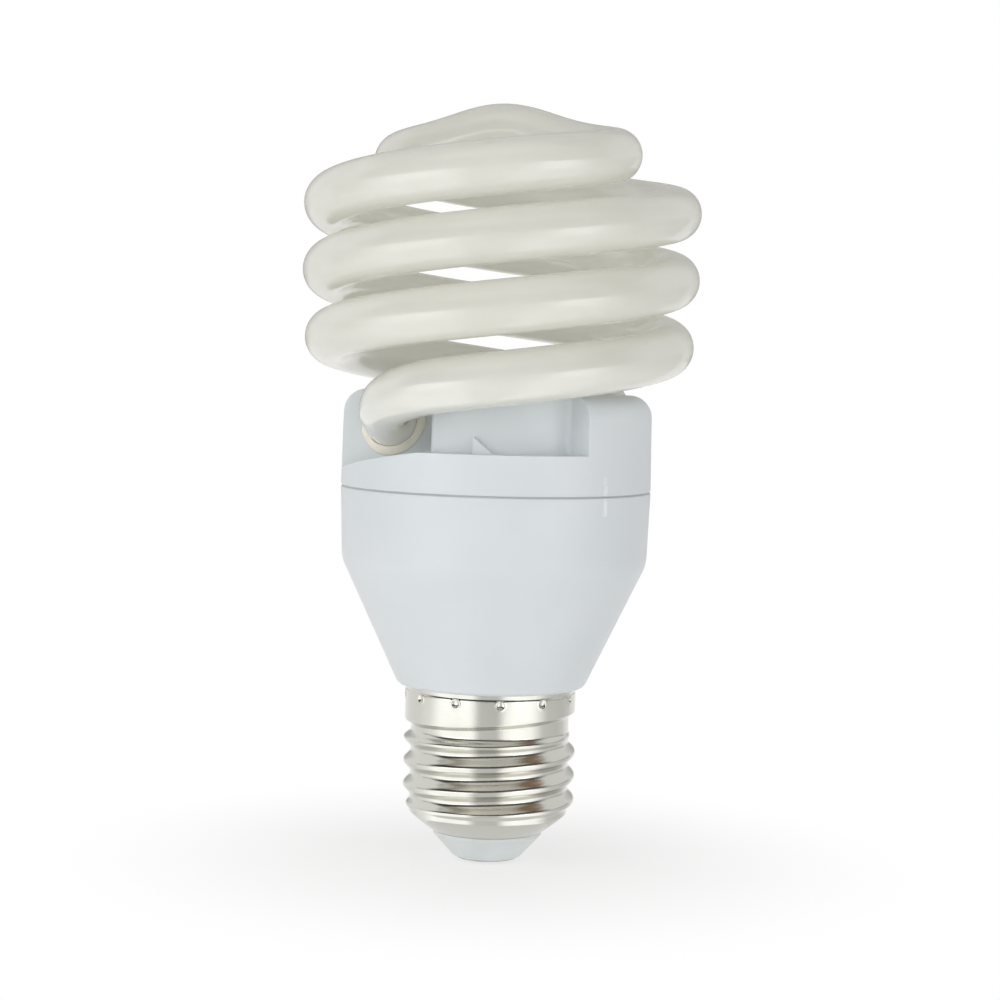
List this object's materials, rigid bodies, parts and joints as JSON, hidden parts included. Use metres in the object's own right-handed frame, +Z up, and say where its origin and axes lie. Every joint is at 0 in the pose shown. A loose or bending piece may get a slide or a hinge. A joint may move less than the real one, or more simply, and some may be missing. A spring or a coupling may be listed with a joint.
{
  "type": "spiral energy saving bulb",
  "caption": "Compact fluorescent lamp with a double-helix glass tube, a moulded ballast housing and an Edison screw cap; screws into a lamp holder and gives light.",
  "frame": {"origin": "tip of the centre contact, on the lamp's axis", "axes": "+Z up the axis from the cap to the top of the spiral, -Y towards the side that the picture shows"},
  "size_m": [0.0602, 0.0602, 0.1154],
  "materials": {
    "coated_glass": "fired white coating inside clear gloss glass",
    "cement": "dull cream cement",
    "white_plastic": "satin moulded flame-retardant polyester",
    "nickel": "rolled sheet brass, bright nickel plate",
    "white_glass": "smooth pressed insulator",
    "tinned_contact": "tinned brass",
    "board_laminate": "paper phenolic laminate",
    "tinned_wire": "tinned copper",
    "wire_insulation": "insulated lead",
    "black_sleeve": "shrunk sleeve",
    "ferrite": "sintered ferrite",
    "former_plastic": "moulded coil former",
    "enamelled_copper": "enamelled copper wire",
    "package_epoxy": "moulded epoxy",
    "dipped_film": "dipped epoxy coat",
    "resistor_coat": "lacquer coat"
  },
  "bodies": {
    "root": {"spiral_tube": "coated_glass", "tube_cement": "cement", "top_cover": "white_plastic", "lower_housing": "white_plastic", "screw_shell": "nickel", "cap_insulator": "white_glass", "centre_contact": "tinned_contact", "circuit_board": "board_laminate", "wrap_pins": "tinned_wire", "electrode_leads": "tinned_wire", "shell_lead": "wire_insulation", "contact_lead": "wire_insulation", "electrolytic_capacitor": "black_sleeve", "choke_core": "ferrite", "choke_bobbin": "former_plastic", "choke_winding": "enamelled_copper", "feedback_toroid": "ferrite", "toroid_windings": "enamelled_copper", "switching_transistors": "package_epoxy", "resonant_capacitor": "dipped_film", "coupling_capacitor": "dipped_film", "rectifier_diodes": "package_epoxy", "start_resistors": "resistor_coat", "filter_choke_core": "ferrite", "filter_choke_winding": "enamelled_copper"}
  },
  "joints": []
}
